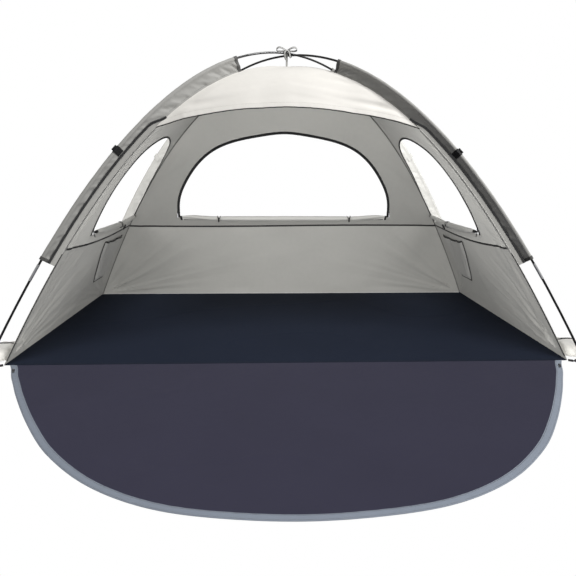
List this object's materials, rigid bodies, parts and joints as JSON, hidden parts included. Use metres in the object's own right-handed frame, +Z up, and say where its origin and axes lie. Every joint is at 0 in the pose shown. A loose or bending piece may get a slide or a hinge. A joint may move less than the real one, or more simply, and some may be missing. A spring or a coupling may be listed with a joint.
{
  "type": "pop up tent",
  "caption": "Two-pole dome beach tent with an open front, a zip-down floor extension, roll-down windows on three sides, pole sleeves, pockets and ring-and-pin corners.",
  "frame": {"origin": "on the ground, under the middle of the whole pitched tent with its door panel laid out", "axes": "+X across the open front, to the right when looking in, +Y into the tent, +Z up"},
  "size_m": [2.636, 2.3595, 1.3914],
  "materials": {
    "grey_polyester": "matt",
    "off_white_polyester": "matt",
    "sleeve_fabric": "matt",
    "floor_fabric": "satin",
    "door_fabric": "matt",
    "binding_tape": "matt",
    "black_tape": "matt",
    "black_webbing": "matt",
    "fibreglass": "gloss",
    "steel": "brushed",
    "elastic_cord": "matt",
    "black_plastic": "matt",
    "zip_metal": "satin",
    "tie_tape": "matt",
    "pouch_fabric": "matt",
    "pocket_mesh": "matt"
  },
  "bodies": {
    "root": {"back_lower_wall": "grey_polyester", "back_upper_wall": "grey_polyester", "back_window_zip_tape": "black_tape", "corner_pins": "steel", "corner_rings": "steel", "corner_straps": "black_webbing", "door_zip_track": "black_tape", "floor_sheet": "floor_fabric", "front_arch_piping": "black_tape", "front_left_sleeve": "sleeve_fabric", "front_right_sleeve": "sleeve_fabric", "front_roof_panel": "off_white_polyester", "guy_out_loops": "black_webbing", "left_lower_wall": "grey_polyester", "left_pocket": "pocket_mesh", "left_upper_wall": "grey_polyester", "left_window_zip_tape": "black_tape", "pole_a_end_sections": "fibreglass", "pole_a_ferrules": "steel", "pole_a_middle_sections": "fibreglass", "pole_a_shock_cord": "elastic_cord", "pole_b_end_sections": "fibreglass", "pole_b_ferrules": "steel", "pole_b_middle_sections": "fibreglass", "pole_b_shock_cord": "elastic_cord", "pole_tips": "black_plastic", "rear_left_sleeve": "sleeve_fabric", "rear_right_sleeve": "sleeve_fabric", "ridge_tie": "tie_tape", "right_lower_wall": "grey_polyester", "right_pocket": "pocket_mesh", "right_upper_wall": "grey_polyester", "right_window_zip_tape": "black_tape", "sand_pouches": "pouch_fabric", "shock_cord_anchors": "elastic_cord", "wall_seam_tape": "black_tape"},
    "door": {"door_panel": "door_fabric", "door_binding": "binding_tape", "door_zip_left_slider": "zip_metal", "door_zip_right_slider": "zip_metal"},
    "back_flap": {"back_flap_roll": "grey_polyester", "back_flap_loops": "black_webbing"},
    "back_toggle_left": {"back_toggle_left": "black_plastic"},
    "back_toggle_right": {"back_toggle_right": "black_plastic"},
    "left_flap": {"left_flap_roll": "grey_polyester", "left_flap_loops": "black_webbing"},
    "left_toggle": {"left_toggle": "black_plastic"},
    "right_flap": {"right_flap_roll": "grey_polyester", "right_flap_loops": "black_webbing"},
    "right_toggle": {"right_toggle": "black_plastic"},
    "back_zip_left_slider": {"back_zip_left_slider": "zip_metal"},
    "back_zip_left_pull": {"back_zip_left_pull": "zip_metal"},
    "back_zip_right_slider": {"back_zip_right_slider": "zip_metal"},
    "back_zip_right_pull": {"back_zip_right_pull": "zip_metal"},
    "left_zip_slider": {"left_zip_slider": "zip_metal"},
    "left_zip_pull": {"left_zip_pull": "zip_metal"},
    "right_zip_slider": {"right_zip_slider": "zip_metal"},
    "right_zip_pull": {"right_zip_pull": "zip_metal"},
    "door_zip_left_pull": {"door_zip_left_pull": "zip_metal"},
    "door_zip_right_pull": {"door_zip_right_pull": "zip_metal"}
  },
  "joints": [
    {"name": "door_fold", "type": "hinge", "parent": "root", "child": "door", "pos_m": [0, -0.157, 0.001], "axis": [-1, 0, 0], "range_deg": [0, 108]},
    {"name": "back_flap_hinge", "type": "hinge", "parent": "root", "child": "back_flap", "pos_m": [0, 0.99785, 0.50227], "axis": [1, 0, 0], "range_deg": [0, 90]},
    {"name": "back_toggle_left_swivel", "type": "hinge", "parent": "back_flap", "child": "back_toggle_left", "pos_m": [-0.4, 0.94842, 0.5075], "axis": [0, -0.9527, -0.3039], "range_deg": [-80, 80]},
    {"name": "back_toggle_right_swivel", "type": "hinge", "parent": "back_flap", "child": "back_toggle_right", "pos_m": [0.4, 0.94842, 0.5075], "axis": [0, -0.9527, -0.3039], "range_deg": [-80, 80]},
    {"name": "left_flap_hinge", "type": "hinge", "parent": "root", "child": "left_flap", "pos_m": [-0.9355, 0.623, 0.50178], "axis": [0, 1, 0], "range_deg": [0, 90]},
    {"name": "left_toggle_swivel", "type": "hinge", "parent": "left_flap", "child": "left_toggle", "pos_m": [-0.88615, 0.643, 0.4959], "axis": [0.8614, 0, -0.5079], "range_deg": [-80, 80]},
    {"name": "right_flap_hinge", "type": "hinge", "parent": "root", "child": "right_flap", "pos_m": [0.9355, 0.623, 0.50178], "axis": [0, -1, 0], "range_deg": [0, 90]},
    {"name": "right_toggle_swivel", "type": "hinge", "parent": "right_flap", "child": "right_toggle", "pos_m": [0.88615, 0.643, 0.4959], "axis": [-0.8614, 0, -0.5079], "range_deg": [-80, 80]},
    {"name": "back_zip_left_slide", "type": "slide", "parent": "root", "child": "back_zip_left_slider", "axis": [0.1229, -0.3191, 0.9397], "range_m": [0, 0.0936]},
    {"name": "back_zip_left_pull_swing", "type": "hinge", "parent": "back_zip_left_slider", "child": "back_zip_left_pull", "pos_m": [-0.65038, 0.97711, 0.54645], "axis": [-0.9924, -0.0384, 0.1167], "range_deg": [-22, 140]},
    {"name": "back_zip_right_slide", "type": "slide", "parent": "root", "child": "back_zip_right_slider", "axis": [-0.1229, -0.3191, 0.9397], "range_m": [0, 0.0936]},
    {"name": "back_zip_right_pull_swing", "type": "hinge", "parent": "back_zip_right_slider", "child": "back_zip_right_pull", "pos_m": [0.65038, 0.97711, 0.54645], "axis": [-0.9924, 0.0384, -0.1167], "range_deg": [-22, 140]},
    {"name": "left_zip_slide", "type": "slide", "parent": "root", "child": "left_zip_slider", "axis": [0.5005, -0.2833, 0.8181], "range_m": [0, 0.0953]},
    {"name": "left_zip_pull_swing", "type": "hinge", "parent": "left_zip_slider", "child": "left_zip_pull", "pos_m": [-0.92168, 0.25187, 0.51311], "axis": [-0.1451, -0.959, -0.2434], "range_deg": [-35, 125]},
    {"name": "right_zip_slide", "type": "slide", "parent": "root", "child": "right_zip_slider", "axis": [-0.5005, -0.2833, 0.8181], "range_m": [0, 0.0953]},
    {"name": "right_zip_pull_swing", "type": "hinge", "parent": "right_zip_slider", "child": "right_zip_pull", "pos_m": [0.92168, 0.25187, 0.51311], "axis": [-0.1451, 0.959, 0.2434], "range_deg": [-35, 125]},
    {"name": "door_zip_left_pull_swing", "type": "hinge", "parent": "door", "child": "door_zip_left_pull", "pos_m": [-1.12868, -0.21969, 0.0092], "axis": [-0.898, -0.44, 0], "range_deg": [0, 140]},
    {"name": "door_zip_right_pull_swing", "type": "hinge", "parent": "door", "child": "door_zip_right_pull", "pos_m": [1.12868, -0.21969, 0.0092], "axis": [-0.898, 0.44, 0], "range_deg": [0, 140]}
  ]
}
